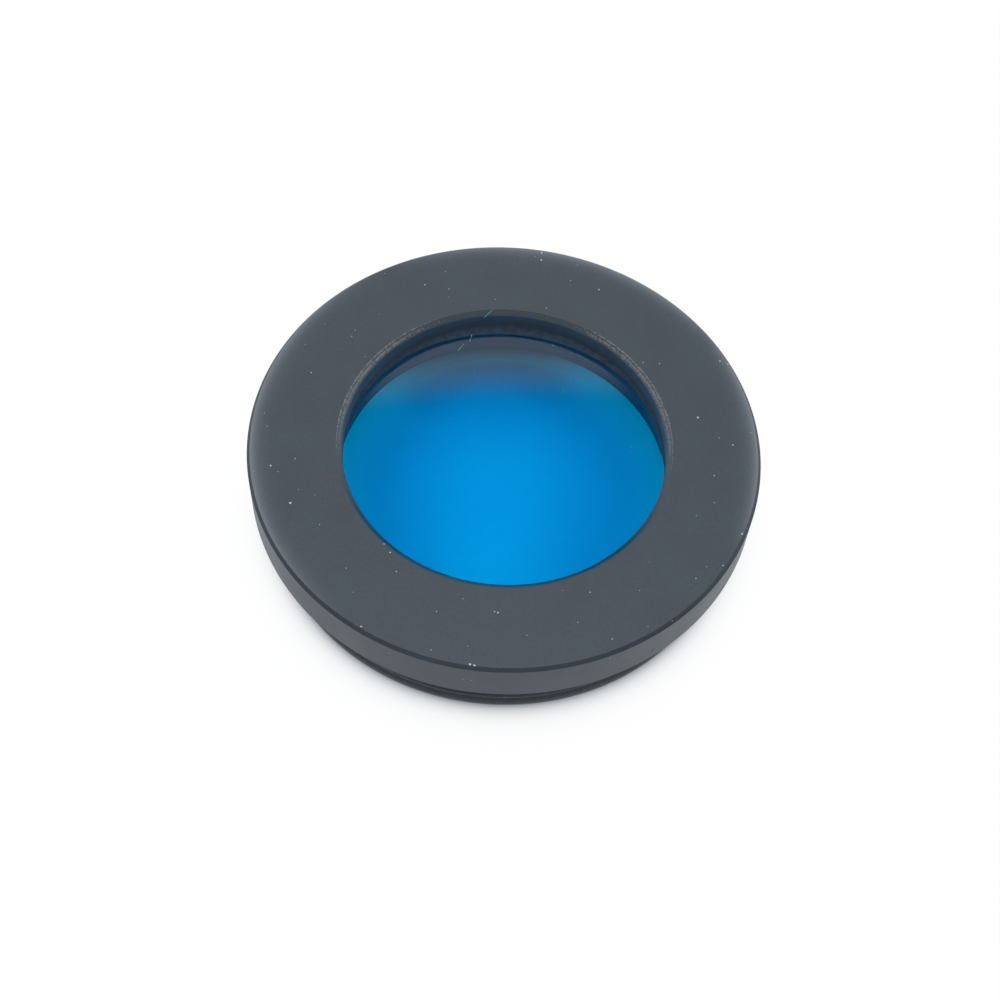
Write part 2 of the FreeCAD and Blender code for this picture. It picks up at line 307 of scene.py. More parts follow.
def skin(points, poles=None):
    """Vertices and outward faces of a grid of points whose columns close round an axis.

    The rows close on each other too, unless two poles close the first and last row with fans. Row i and
    column j join row i + 1 and column j + 1. The sum over the triangles of a . (b x c) is six times the
    volume, and where it is negative every face is turned round.
    """
    rows, columns = points.shape[:2]
    vertices = points.reshape(-1, 3)
    row = np.arange(rows if poles is None else rows - 1)[:, None]
    column = np.arange(columns)
    beside = (column + 1) % columns
    below = row * columns
    above = (row + 1) % rows * columns
    quads = np.stack([below + column, below + beside, above + beside, above + column], axis=2)
    quads = quads.reshape(-1, 4)
    fans = np.empty((0, 3), int)
    if poles is not None:
        low = np.full(columns, len(vertices))
        last = (rows - 1) * columns
        first_fan = np.stack([low, beside, column], axis=1)
        last_fan = np.stack([last + column, last + beside, low + 1], axis=1)
        fans = np.concatenate([first_fan, last_fan])
        vertices = np.concatenate([vertices, np.array(poles)])
    triangles = np.concatenate([quads[:, :3], quads[:, [0, 2, 3]], fans])
    a, b, c = (vertices[triangles[:, k]] for k in range(3))
    if (a * np.cross(b, c)).sum() < 0:
        quads = quads[:, ::-1]
        fans = fans[:, ::-1]
    return vertices, quads, fans


def add_mesh(name, parts, smooth=True):
    """A mesh object at the origin, of one or more (vertices, quads, other faces)."""
    starts = np.cumsum([0] + [len(vertices) for vertices, _, _ in parts])
    vertices = np.concatenate([vertices for vertices, _, _ in parts])
    faces = []
    for start, (_, quads, triangles) in zip(starts, parts):
        faces += (quads + start).tolist() + (triangles + start).tolist()
    mesh = bpy.data.meshes.new(name)
    mesh.from_pydata(vertices.tolist(), [], faces)
    mesh.polygons.foreach_set("use_smooth", np.full(len(mesh.polygons), smooth))
    mesh.update()
    piece = bpy.data.objects.new(name, mesh)
    bpy.context.scene.collection.objects.link(piece)
    return piece


def round_the_axis(segments):
    """Angles of equally spaced columns, as a row: that of column i is i / segments of a full turn."""
    return np.arange(segments)[None, :] * FULL_TURN / segments


def cell_outline(cell):
    """Section of the turned cell, anticlockwise from the lower edge of its mouth."""
    shoulder = CELL_TOP - cell.flange_height
    relief = shoulder - cell.relief_width
    bore = RING_RADIUS + cell.ring_clearance
    glass_bore = GLASS_RADIUS + cell.glass_clearance
    step = GLASS_BOTTOM + cell.runout
    soft = cell.softness
    crisp = 0.5 * soft
    return [
        (bore + cell.mouth_chamfer, 0.0, crisp),
        (THREAD_RADIUS - cell.thread_lead, 0.0, crisp),
        (THREAD_RADIUS, cell.thread_lead, crisp),
        (THREAD_RADIUS, relief, crisp),
        (cell.relief_radius, relief + cell.relief_bevel, crisp),
        (cell.relief_radius, shoulder, 2 * crisp),
        (CELL_RADIUS - cell.edge_break, shoulder, soft),
        (CELL_RADIUS, shoulder + cell.edge_break, soft),
        (CELL_RADIUS, CELL_TOP - cell.rim_chamfer, soft),
        (CELL_RADIUS - cell.rim_chamfer, CELL_TOP, soft),
        (cell.aperture_radius + cell.aperture_chamfer, CELL_TOP, soft),
        (cell.aperture_radius, CELL_TOP - cell.aperture_chamfer, soft),
        (cell.aperture_radius, GLASS_TOP, crisp),
        (glass_bore, GLASS_TOP, crisp),
        (glass_bore, step, crisp),
        (bore, step, crisp),
        (bore, cell.mouth_chamfer, crisp),
    ]


def cell_surface(cell, inside):
    """Grid of the cell: its outline carried round the axis, with both threads cut into it.

    The male thread takes the radius down to R - drop, where that is under the lead-in's cone. The
    female one brings the bore in to R - drop, where that is outside the mouth's cone.
    """
    bore = RING_RADIUS + cell.ring_clearance
    relief = CELL_TOP - cell.flange_height - cell.relief_width
    flank = 0.5 * MM
    near = 0.1 * MM
    male = ((THREAD_RADIUS - flank, 0), (THREAD_RADIUS + near, relief), cell.thread_pitch / 14)
    female = ((bore - near, 0), (bore + 3 * near, GLASS_BOTTOM), inside.ring_pitch / 9)
    outline = divided(rounded(cell_outline(cell)), [male, female])
    angle = round_the_axis(cell.segments)
    radius = outline[:, :1]
    height = outline[:, 1:]
    drop = thread_drop(height, angle, cell.thread_pitch, cell.thread_depth, cell.thread_start)
    filled = bore - thread_drop(height, angle, inside.ring_pitch, inside.ring_depth)
    mouth = bore + cell.mouth_chamfer - height
    on_male = (np.abs(radius - THREAD_RADIUS) < flank) & (height < relief)
    on_female = (np.abs(radius - bore) < cell.mouth_chamfer) & (height < RING_TOP)
    turned_radius = np.where(on_male, np.minimum(radius, THREAD_RADIUS - drop), radius)
    turned_radius = np.where(on_female, np.maximum(filled, mouth), turned_radius)
    return turned(turned_radius, height, angle)


def ring_columns(inside):
    """Columns round the retaining ring: (angle, distance beside it, share of the slot's depth).

    Columns at a slot keep a distance from the slot's middle line, so that its walls are parallel: the
    angle there is that of the slot plus arcsin(distance / radius).
    """
    half = inside.slot_width / 2
    outer = half + HOLD
    beside = np.array([-outer, -half, -half / 2, 0, half / 2, half, outer])
    depth = np.array([0, 1, 1, 1, 1, 1, 0])
    clear = 1.4 * outer / inside.ring_bore
    between = np.linspace(clear, math.pi - clear, inside.segments // 2 - len(beside))
    angle = np.concatenate([0 * beside, between, 0 * beside + math.pi, between + math.pi])
    distance = np.concatenate([beside, 0 * between, beside, 0 * between])
    share = np.concatenate([depth, 0 * between, depth, 0 * between])
    return angle, distance, share


def ring_surface(inside):
    """Grid of the retaining ring: a chamfered section with a thread outside and two slots below.

    In a slot every height is drawn up towards the top: z becomes top - (top - z) (1 - depth / height).
    """
    chamfer = inside.ring_chamfer
    soft = inside.ring_softness
    corners = [
        (inside.ring_bore + chamfer, RING_BOTTOM, soft),
        (RING_RADIUS - chamfer, RING_BOTTOM, soft),
        (RING_RADIUS, RING_BOTTOM + chamfer, soft),
        (RING_RADIUS, RING_TOP - chamfer, soft),
        (RING_RADIUS - chamfer, RING_TOP, soft),
        (inside.ring_bore + chamfer, RING_TOP, soft),
        (inside.ring_bore, RING_TOP - chamfer, soft),
        (inside.ring_bore, RING_BOTTOM + chamfer, soft),
    ]
    threaded = ((RING_RADIUS - chamfer, RING_BOTTOM), (RING_RADIUS + soft, RING_TOP))
    outline = divided(rounded(corners), [(*threaded, inside.ring_pitch / 9)])
    radius = outline[:, :1]
    height = outline[:, 1:]
    column, distance, share = ring_columns(inside)
    angle = column + np.arcsin(distance / radius)
    cut = RING_RADIUS - thread_drop(height, angle, inside.ring_pitch, inside.ring_depth)
    radius = np.where(radius > RING_RADIUS - chamfer, np.minimum(radius, cut), radius)
    kept = 1 - share * inside.slot_depth / (RING_TOP - RING_BOTTOM)
    return turned(radius, RING_TOP - (RING_TOP - height) * kept, angle)


def glass_surface(inside):
    """Grid and poles of the glass: a flat disc with ground bevels, turned round its axis."""
    bevel = inside.glass_bevel
    lower = [(0.5 * GLASS_RADIUS, 0), (GLASS_RADIUS - bevel - HOLD, 0), (GLASS_RADIUS - bevel, 0)]
    lower += [(GLASS_RADIUS, bevel), (GLASS_RADIUS, bevel + HOLD)]
    thickness = GLASS_TOP - GLASS_BOTTOM
    upper = [(radius, thickness - rise) for radius, rise in reversed(lower)]
    section = np.array(lower + upper)
    points = turned(section[:, :1], GLASS_BOTTOM + section[:, 1:], round_the_axis(inside.segments))
    return points, [(0, 0, GLASS_BOTTOM), (0, 0, GLASS_TOP)]


# Grains that the photograph shows on the glass, (x, y) in millimetres
NOTED_GRAINS = (
    (-2.2, 5.8), (-1.8, 3.0), (-3.4, 2.3), (7.7, 1.1), (7.7, 0.7), (3.8, 6.0), (3.4, 5.0), (2.6, 8.5)
)


def grain_surfaces(inside):
    """Grids and poles of the grains: small lumps resting on the glass.

    A lump is a sphere of a few faces whose radius varies from point to point, flattened to 0.6 of its
    height, with its lowest point just clear of the glass.
    """
    draw = np.random.default_rng(seed=11)
    strewn = 6.5
    flattened = 0.6
    scattered = draw.uniform(-1, 1, (inside.grain_count, 2)) * strewn
    places = np.concatenate([np.array(NOTED_GRAINS), scattered]) * MM
    sizes = np.concatenate([np.full(len(NOTED_GRAINS), 1.3), draw.uniform(0.35, 0.8, inside.grain_count)])
    polar = np.linspace(0, math.pi, 6)[1:-1, None]
    around = round_the_axis(7)
    for place, size in zip(places, sizes):
        uneven = draw.uniform(0.75, 1.25, (len(polar), around.shape[1]))
        radius = size * inside.grain_radius * uneven
        tall = flattened * size * inside.grain_radius
        lump = turned(radius * np.sin(polar), tall * (1.05 - np.cos(polar)), around)
        centre = np.array([*place, GLASS_TOP])
        yield lump + centre, [centre + (0, 0, 0.05 * tall), centre + (0, 0, 2.05 * tall)]


def bead_surface(cell, inside):
    """Grid of the pale bead in the corner between the glass and the lip, whose colour lifts the shade
    there as painted light: a thin bead with a flat slope.

    At the angle a its width and height are ((1 + sin a) / 2)^4 of those at the back, and at least 0.03.
    """
    angle = round_the_axis(inside.segments)
    clear = 0.003 * MM
    share = np.maximum(((1 + np.sin(angle)) / 2) ** 4, 0.03)
    outer = cell.aperture_radius - clear + 0 * angle
    low = GLASS_TOP + clear + 0 * angle
    radius = np.concatenate([outer - inside.bead_width * share, outer, outer])
    height = np.concatenate([low, low, low + inside.bead_height * share])
    return turned(radius, height, angle)


def fibre_surface(start, bend, end, radius):
    """Grid and poles of a lint fibre: a tube of six sides along a quadratic curve of three points.

    The curve at t is (1 - t)^2 start + 2 t (1 - t) bend + t^2 end, and the tube tapers at both ends.
    """
    t = np.linspace(0.02, 0.98, 20)[:, None]
    start, bend, end = (np.array(point) * MM for point in (start, bend, end))
    middle = (1 - t) ** 2 * start + 2 * t * (1 - t) * bend + t ** 2 * end
    tangent = 2 * (1 - t) * (bend - start) + 2 * t * (end - bend)
    side = np.cross(tangent, [0, 0, 1])
    side = side / np.linalg.norm(side, axis=1, keepdims=True)
    over = np.cross(side, tangent)
    over = over / np.linalg.norm(over, axis=1, keepdims=True)
    around = round_the_axis(6)[..., None]
    size = (radius * np.minimum(1, 8 * np.minimum(t, 1 - t)))[..., None]
    tube = middle[:, None] + size * (np.cos(around) * side[:, None] + np.sin(around) * over[:, None])
    return tube, [start, end]


def fibre_surfaces(inside):
    """The lint: one fibre across the opening's bevel, and two on the glass beside it."""
    radius = inside.fibre_radius
    face = (CELL_TOP - 1.2 * radius) / MM
    glass = (GLASS_TOP + 1.2 * radius) / MM
    across = ((-1.35, 9.98, face), (-1.6, 9.75, face - 0.12), (-1.95, 9.5, face - 0.4))
    long_one = ((-2.57, 9.15, glass), (-2.6, 8.75, glass), (-2.69, 8.3, glass))
    short_one = ((-3.0, 8.15, glass), (-3.2, 7.85, glass), (-3.42, 7.45, glass))
    for points in (across, long_one, short_one):
        yield fibre_surface(*points, radius)


def join(tree, given, socket):
    """Links an output to this socket, or sets the socket to a value or to an opaque colour."""
    if isinstance(given, bpy.types.NodeSocket):
        tree.links.new(given, socket)
    elif socket.type == "RGBA":
        socket.default_value = (*given, 1)
    else:
        socket.default_value = given


def node(tree, kind, *inputs, **settings):
    """A shader node with these settings, and its first inputs joined or set in order."""
    made = tree.nodes.new(kind)
    for key, setting in settings.items():
        setattr(made, key, setting)
    for socket, given in zip(made.inputs, inputs):
        if given is not None:
            join(tree, given, socket)
    return made


def maths(tree, operation, *inputs, clamp=False):
    return node(tree, "ShaderNodeMath", *inputs, operation=operation, use_clamp=clamp).outputs[0]


def vectors(tree, operation, *inputs):
    """Outputs of a vector node: the vector, and the value under that name."""
    return node(tree, "ShaderNodeVectorMath", *inputs, operation=operation).outputs


def highest(tree, *values):
    """The greatest of several values."""
    return functools.reduce(lambda total, value: maths(tree, "MAXIMUM", total, value), values)


def product(tree, *values):
    """Several values multiplied with each other."""
    return functools.reduce(lambda total, value: maths(tree, "MULTIPLY", total, value), values)


def rest(tree, value):
    """What a share leaves of 1."""
    return maths(tree, "SUBTRACT", 1.0, value)


def ramp(tree, value, start, stop, low, high):
    """A value carried smoothly from start..stop to low..high and held beyond them."""
    ends = (start, stop, low, high)
    return node(tree, "ShaderNodeMapRange", value, *ends, interpolation_type="SMOOTHSTEP").outputs[0]


def mixed(tree, mask, first, second):
    """The first colour where the mask is 0 and the second where it is 1."""
    mix = node(tree, "ShaderNodeMix", data_type="RGBA")
    join(tree, mask, mix.inputs[0])
    join(tree, first, mix.inputs[6])
    join(tree, second, mix.inputs[7])
    return mix.outputs[2]


def noise(tree, place, scale, detail=2.0, roughness=0.5):
    made = node(tree, "ShaderNodeTexNoise")
    join(tree, place, made.inputs["Vector"])
    join(tree, scale, made.inputs["Scale"])
    made.inputs["Detail"].default_value = detail
    made.inputs["Roughness"].default_value = roughness
    return made.outputs[0]


def from_axis(tree, place):
    """Distance from the axis, and height, of a place."""
    parts = node(tree, "ShaderNodeSeparateXYZ", place)
    flat = vectors(tree, "MULTIPLY", place, (1, 1, 0))[0]
    return vectors(tree, "LENGTH", flat)["Value"], parts.outputs["Z"]


def new_group(name, inputs, outputs):
    """An empty node group with these named sockets, and its own input and output nodes."""
    group = bpy.data.node_groups.new(name, "ShaderNodeTree")
    for label, default in inputs:
        kind = "NodeSocketVector" if isinstance(default, tuple) else "NodeSocketFloat"
        socket = group.interface.new_socket(name=label, in_out="INPUT", socket_type=kind)
        socket.default_value = default
    for label in outputs:
        group.interface.new_socket(name=label, in_out="OUTPUT", socket_type="NodeSocketFloat")
    return group, group.nodes.new("NodeGroupInput").outputs, group.nodes.new("NodeGroupOutput").inputs


def placed(tree, group, **values):
    """A group put into a material with its own values, by input name."""
    made = tree.nodes.new("ShaderNodeGroup")
    made.node_tree = bpy.data.node_groups[group]
    for key, given in values.items():
        join(tree, given, made.inputs[key])
    return made.outputs


def make_blasted_grain():
    """Fine pits of a blasted and anodised skin, and a faint cloudiness in its colour."""
    inputs = [("Place", (0, 0, 0)), ("Pits", 9000.0), ("Clouds", 300.0)]
    group, given, result = new_group("Blasted grain", inputs, ["Height", "Cloud"])
    join(group, noise(group, given["Place"], given["Pits"], 3.0), result["Height"])
    join(group, noise(group, given["Place"], given["Clouds"], 4.0), result["Cloud"])


def make_turned_edge():
    """Nearness to a turned edge: 1 on the circle of this radius and height, 0 beyond the reach."""
    inputs = [("Place", (0, 0, 0)), ("Radius", 0.01), ("Height", 0.0), ("Reach", 0.0001)]
    group, given, result = new_group("Turned edge", inputs, ["Mask"])
    distance, height = from_axis(group, given["Place"])
    out = maths(group, "SUBTRACT", distance, given["Radius"])
    up = maths(group, "SUBTRACT", height, given["Height"])
    both = maths(group, "ADD", product(group, out, out), product(group, up, up))
    share = maths(group, "DIVIDE", maths(group, "SQRT", both), given["Reach"])
    join(group, maths(group, "SUBTRACT", 1.0, share, clamp=True), result["Mask"])


def make_toward_side():
    """How far a place lies towards one side of the axis: 1 in its middle, 0 past the spread."""
    inputs = [("Place", (0, 0, 0)), ("Side", (1, 0, 0)), ("Spread", 0.7)]
    group, given, result = new_group("Toward side", inputs, ["Mask"])
    unit = vectors(group, "NORMALIZE", vectors(group, "MULTIPLY", given["Place"], (1, 1, 0))[0])[0]
    along = vectors(group, "DOT_PRODUCT", unit, given["Side"])["Value"]
    join(group, ramp(group, along, given["Spread"], 1.0, 0.0, 1.0), result["Mask"])


def make_rubbed():
    """Rubbed spots: the amount of wear broken up by noise, so that much wear joins the spots."""
    inputs = [("Place", (0, 0, 0)), ("Amount", 0.0), ("Scale", 7000.0)]
    group, given, result = new_group("Rubbed", inputs, ["Mask"])
    grain = noise(group, given["Place"], given["Scale"], 4.0, 0.7)
    raised = maths(group, "ADD", grain, given["Amount"])
    spots = ramp(group, raised, 0.85, 1.1, 0.0, 1.0)
    spread = maths(group, "MULTIPLY", given["Amount"], 1.6, clamp=True)
    join(group, product(group, spots, spread), result["Mask"])


def make_fine_specks():
    """Tiny pale specks near the middle of some cells of a Voronoi pattern."""
    inputs = [("Place", (0, 0, 0)), ("Scale", 2100.0), ("Size", 0.09), ("Share", 0.4)]
    group, given, result = new_group("Fine specks", inputs, ["Mask"])
    cells = node(group, "ShaderNodeTexVoronoi")
    join(group, given["Place"], cells.inputs["Vector"])
    join(group, given["Scale"], cells.inputs["Scale"])
    parts = node(group, "ShaderNodeSeparateColor", cells.outputs["Color"]).outputs
    near = maths(group, "LESS_THAN", cells.outputs["Distance"], product(group, given["Size"], parts[1]))
    chosen = maths(group, "LESS_THAN", parts[0], given["Share"])
    join(group, product(group, near, chosen, parts[2]), result["Mask"])


# Chips in the top face, (x, y, radius) in millimetres
CHIPS = (
    (11.6, 2.7, 0.075), (1.5, 14.35, 0.065), (1.5, 14.95, 0.06), (5.3, 12.2, 0.055),
    (13.0, 7.15, 0.05), (13.5, 6.95, 0.05), (-12.15, 4.0, 0.05), (-5.8, 11.6, 0.05),
    (-13.7, -3.0, 0.06), (-12.2, -5.5, 0.075), (-6.5, -7.8, 0.055), (-6.1, -8.35, 0.05),
    (0.1, -11.7, 0.045), (0.3, -11.75, 0.055), (-7.25, -13.25, 0.055), (-4.85, -14.55, 0.07),
    (14.15, -5.4, 0.055), (13.7, 0.85, 0.055), (-1.05, -15.1, 0.08), (-0.8, -15.15, 0.07),
)
# Middle of the dark nick in the rim
NICK = (9.2 * MM, -12.3 * MM, 4.35 * MM)
# Sides of the cell, (degrees from the right, cosine where the effect ends)
# Sides where the pale glow along the rim is painted
PAINTED_GLOW_SIDES = ((180, 0.5), (75, 0.6), (8, 0.8))
RUBBED_SIDES = ((30, 0.45), (155, 0.45))
BACK = (90, -0.1)
FRONT = (-90, 0.0)
# Darkest and palest shade of the anodising, as shares of its colour
CLOUDED = (0.65, 1.4)


def make_placed_chips():
    """Chips at chosen places of the top face, (x, y, radius) in millimetres, with ragged outlines."""
    group, given, result = new_group("Placed chips", [("Place", (0, 0, 0))], ["Mask"])
    ragged = maths(group, "MULTIPLY_ADD", noise(group, given["Place"], 22000.0, 3.0, 0.6), 3.0, -0.75)
    masks = []
    for x, y, radius in CHIPS:
        centre = (x * MM, y * MM, CELL_TOP)
        away = vectors(group, "DISTANCE", given["Place"], centre)["Value"]
        masks.append(maths(group, "LESS_THAN", away, product(group, ragged, radius * MM)))
    join(group, highest(group, *masks), result["Mask"])


def near_edge(tree, place, radius, height, reach):
    """Nearness to a turned edge, with its reach in millimetres."""
    edge = placed(tree, "Turned edge", Place=place, Radius=radius, Height=height, Reach=reach * MM)
    return edge["Mask"]


def toward(tree, place, degrees, spread):
    """How far a place lies towards the side at these degrees."""
    return placed(tree, "Toward side", Place=place, Side=direction(degrees), Spread=spread)["Mask"]


def new_material(name, constants):
    """A material with these constants on its Principled shader, its tree, that shader and the place."""
    material = bpy.data.materials.new(name)
    material.use_nodes = True
    tree = material.node_tree
    shader = tree.nodes["Principled BSDF"]
    for label, value in constants.items():
        shader.inputs[label].default_value = value
    return material, tree, shader, node(tree, "ShaderNodeTexCoord").outputs["Object"]


def direction(degrees):
    """A flat unit vector at this many degrees from the right, seen from above."""
    return (math.cos(math.radians(degrees)), math.sin(math.radians(degrees)), 0)


def anodised_skin(tree, shader, place, finish, base):
    """Joins the grain of matte anodising to a shader, and gives back its cloudy colour."""
    grain = placed(tree, "Blasted grain", Place=place)
    darker, lighter = ([share * channel for channel in base] for share in CLOUDED)
    roughness = finish.anodised_roughness
    uneven = ramp(tree, grain["Cloud"], 0.3, 0.7, roughness - 0.03, roughness + 0.03)
    join(tree, uneven, shader.inputs["Roughness"])
    bump = node(tree, "ShaderNodeBump")
    bump.inputs["Strength"].default_value = 0.3
    bump.inputs["Distance"].default_value = 0.00001
    join(tree, grain["Height"], bump.inputs["Height"])
    join(tree, bump.outputs[0], shader.inputs["Normal"])
    mottle = maths(tree, "MULTIPLY_ADD", grain["Height"], 1.4, product(tree, grain["Cloud"], 0.6))
    return mixed(tree, maths(tree, "SUBTRACT", mottle, 0.5, clamp=True), darker, lighter)


def cell_material(cell, finish):
    """Matte black anodising, rubbed at the opening's bevel and along the rim, with chips and specks, and
    with painted light and shade: bluer in the bore, lighter on the thread, pale along the rim, blue at
    the front of the opening and darker at the back of its bevel.
    """
    constants = {"Specular IOR Level": finish.anodised_specular}
    material, tree, shader, place = new_material("black_anodised_cell", constants)
    skin_colour = anodised_skin(tree, shader, place, finish, finish.anodised)
    distance, height = from_axis(tree, place)

    edge = functools.partial(near_edge, tree, place)
    side = functools.partial(toward, tree, place)

    # Painted blue light: below the bevel the bore takes the lighter, bluer inside colour
    in_bore = maths(tree, "LESS_THAN", distance, GLASS_RADIUS + 1 * MM)
    below_bevel = maths(tree, "LESS_THAN", height, CELL_TOP - cell.aperture_chamfer)
    painted_bore_light = product(tree, in_bore, below_bevel)
    lined = mixed(tree, painted_bore_light, skin_colour, finish.inside)
    half = cell.aperture_chamfer / 2
    near_bevel = edge(cell.aperture_radius + half, CELL_TOP - half, 0.3)
    on_bevel = maths(tree, "GREATER_THAN", near_bevel, 0.28)
    # Painted light and shade: the opening's bevel is lighter at its sides and darker towards the back
    bevel_lit_and_shaded = mixed(tree, side(*BACK), finish.bevel, finish.bevel_back_painted_shade)
    lined = mixed(tree, on_bevel, lined, bevel_lit_and_shaded)
    # Painted light: the thread under the flange takes a lighter copy of the anodising
    below_flange = maths(tree, "LESS_THAN", height, CELL_TOP - cell.flange_height - 0.02 * MM)
    outside = maths(tree, "GREATER_THAN", distance, cell.relief_radius - 0.5 * MM)
    on_spigot = product(tree, below_flange, outside)
    lined = mixed(tree, on_spigot, lined, finish.spigot_painted_light)

    # Painted glow: the top face turns pale towards the rim on the sides that face the bright backdrop,
    # fading inwards
    from_rim = maths(tree, "SUBTRACT", distance, CELL_RADIUS)
    fading = maths(tree, "EXPONENT", maths(tree, "DIVIDE", from_rim, finish.painted_glow_fade))
    on_top = maths(tree, "GREATER_THAN", height, CELL_TOP - 0.02 * MM)
    around = highest(tree, *(side(*spot) for spot in PAINTED_GLOW_SIDES))
    painted_glow = product(tree, fading, on_top, around, finish.painted_glow_share)
    with_painted_glow = mixed(tree, painted_glow, lined, finish.painted_glow)

    opening = cell.aperture_radius + cell.aperture_chamfer
    bevel_top = edge(opening, CELL_TOP, 0.2)
    bevel_foot = edge(cell.aperture_radius, CELL_TOP - cell.aperture_chamfer, 0.16)
    bevel_face = edge(cell.aperture_radius + half, CELL_TOP - half, 0.5)
    bevel = highest(tree, bevel_top, product(tree, bevel_foot, 0.7), bevel_face)
    rubbed_sides = [side(*spot) for spot in RUBBED_SIDES]
    sides = highest(tree, *rubbed_sides, product(tree, side(*BACK), 0.6))
    opening_wear = product(tree, bevel, sides, finish.opening_wear)
    rim_top = edge(CELL_RADIUS - cell.rim_chamfer, CELL_TOP, 0.11)
    rim_side = edge(CELL_RADIUS, CELL_TOP - cell.rim_chamfer, 0.11)
    rim_foot = edge(CELL_RADIUS, CELL_TOP - cell.flange_height + cell.edge_break, 0.14)
    rim_wear = product(tree, highest(tree, rim_top, rim_side, rim_foot), finish.rim_wear)
    crest = ramp(tree, distance, THREAD_RADIUS - 0.12 * MM, THREAD_RADIUS, 0.0, finish.thread_wear)
    crest_wear = product(tree, crest, on_spigot)
    wear = highest(tree, opening_wear, rim_wear, crest_wear)
    rubbed = placed(tree, "Rubbed", Place=place, Amount=wear)["Mask"]
    worn = mixed(tree, rubbed, with_painted_glow, finish.worn)
    specks = placed(tree, "Fine specks", Place=place)["Mask"]
    speckled = mixed(tree, specks, worn, finish.dust)
    chips = placed(tree, "Placed chips", Place=place)["Mask"]
    chipped = mixed(tree, chips, speckled, finish.dust)
    away = vectors(tree, "DISTANCE", place, NICK)["Value"]
    nick = maths(tree, "LESS_THAN", away, product(tree, noise(tree, place, 5000.0), 0.22 * MM))
    # Painted blue light: the front edge of the opening and its bevel take a blue colour and a metallic
    # sheen for the light that the glass throws on them
    inner_edge = edge(opening, CELL_TOP, 0.13)
    in_front = ramp(tree, side(*FRONT), 0.15, 0.95, 0.0, 1.0)
    painted_blue_light = product(tree, highest(tree, inner_edge, on_bevel), in_front)
    join(tree, highest(tree, nick, product(tree, painted_blue_light, 0.8)), shader.inputs["Metallic"])
    edged = mixed(tree, painted_blue_light, chipped, finish.bevel_front)
    join(tree, mixed(tree, nick, edged, finish.nick), shader.inputs["Base Color"])
    return material


def ring_material(inside, finish):
    """Black anodising of the ring, with painted blue light from the glass in its bore, and rubbed where
    the spanner goes in.
    """
    constants = {"Specular IOR Level": finish.anodised_specular}
    material, tree, shader, place = new_material("black_anodised_ring", constants)
    skin_colour = anodised_skin(tree, shader, place, finish, finish.anodised)
    distance, height = from_axis(tree, place)
    half = inside.ring_chamfer / 2
    # Painted blue light: the ring's bore under the glass takes the blue ring colour
    in_bore = maths(tree, "LESS_THAN", distance, inside.ring_bore + 0.7 * MM)
    under_glass = ramp(tree, height, RING_BOTTOM + half, RING_BOTTOM + 3 * half, 0.0, 1.0)
    lined = mixed(tree, product(tree, in_bore, under_glass), skin_colour, finish.ring)
    edge = near_edge(tree, place, inside.ring_bore + half, RING_BOTTOM, 0.5)
    slots = [toward(tree, place, degrees, 0.985) for degrees in (0, 180)]
    near_slot = maths(tree, "MULTIPLY_ADD", highest(tree, *slots), 0.6, 0.25)
    rubbed = placed(tree, "Rubbed", Place=place, Amount=product(tree, edge, near_slot))["Mask"]
    specks = placed(tree, "Fine specks", Place=place, Share=0.15)["Mask"]
    worn = mixed(tree, rubbed, lined, finish.worn)
    join(tree, mixed(tree, specks, worn, finish.dust), shader.inputs["Base Color"])
    return material


def glass_material(finish):
    """Polished glass dyed blue: one pass lets by the tint."""
    constants = {"Roughness": 0.0, "IOR": finish.glass_index, "Transmission Weight": 1.0}
    material, tree, shader, _ = new_material("blue_filter_glass", constants)
    join(tree, finish.glass, shader.inputs["Base Color"])
    return material


def dust_material(finish):
    """Pale lint and dust, a little uneven in colour, tinted blue as painted blue light from the glass
    beneath.
    """
    material, tree, shader, place = new_material("dust_and_lint", {"Roughness": 0.8})
    shade = [0.7 * channel for channel in finish.lint]
    join(tree, mixed(tree, noise(tree, place, 3000.0), shade, finish.lint), shader.inputs["Base Color"])
    return material


def painted_light_bead_material(finish):
    """Dark blue-grey bead in the corner of the glass, uneven in colour: painted light that lifts the
    shade in that corner.
    """
    constants = {"Roughness": 0.9, "Specular IOR Level": 0.2}
    material, tree, shader, place = new_material("painted_light_in_corner", constants)
    shade = [0.7 * channel for channel in finish.corner_painted_light]
    cloud = ramp(tree, noise(tree, place, 2500.0, 4.0), 0.35, 0.65, 0.0, 1.0)
    join(tree, mixed(tree, cloud, shade, finish.corner_painted_light), shader.inputs["Base Color"])
    return material


